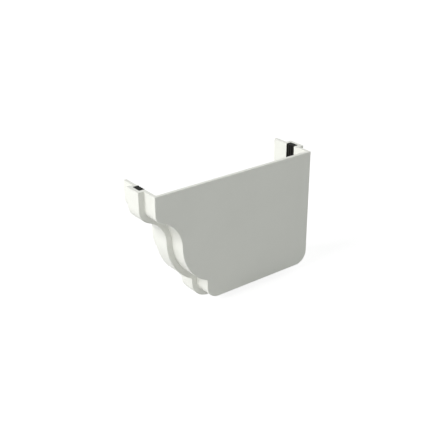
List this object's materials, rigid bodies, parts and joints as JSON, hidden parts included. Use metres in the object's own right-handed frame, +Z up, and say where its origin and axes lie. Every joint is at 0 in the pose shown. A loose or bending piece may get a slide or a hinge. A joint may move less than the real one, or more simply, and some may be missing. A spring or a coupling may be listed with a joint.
{
  "type": "gutter end cap",
  "caption": "White plastic end cap for an ogee rain gutter: a flat plate with a thin socket wall of the gutter's section and a raised band all round that holds a black rubber seal.",
  "frame": {"origin": "on the socket's floor at mid width, where the base of the gutter meets the inner face of the end plate", "axes": "+X across the gutter from its ogee front to its flat back, +Y out of the mouth along the gutter, +Z up to the open top"},
  "size_m": [0.1182, 0.0307, 0.0773],
  "materials": {
    "white_plastic": "satin",
    "black_rubber": "matte"
  },
  "bodies": {
    "root": {"end_cap": "white_plastic", "rubber_seal": "black_rubber"}
  },
  "joints": []
}
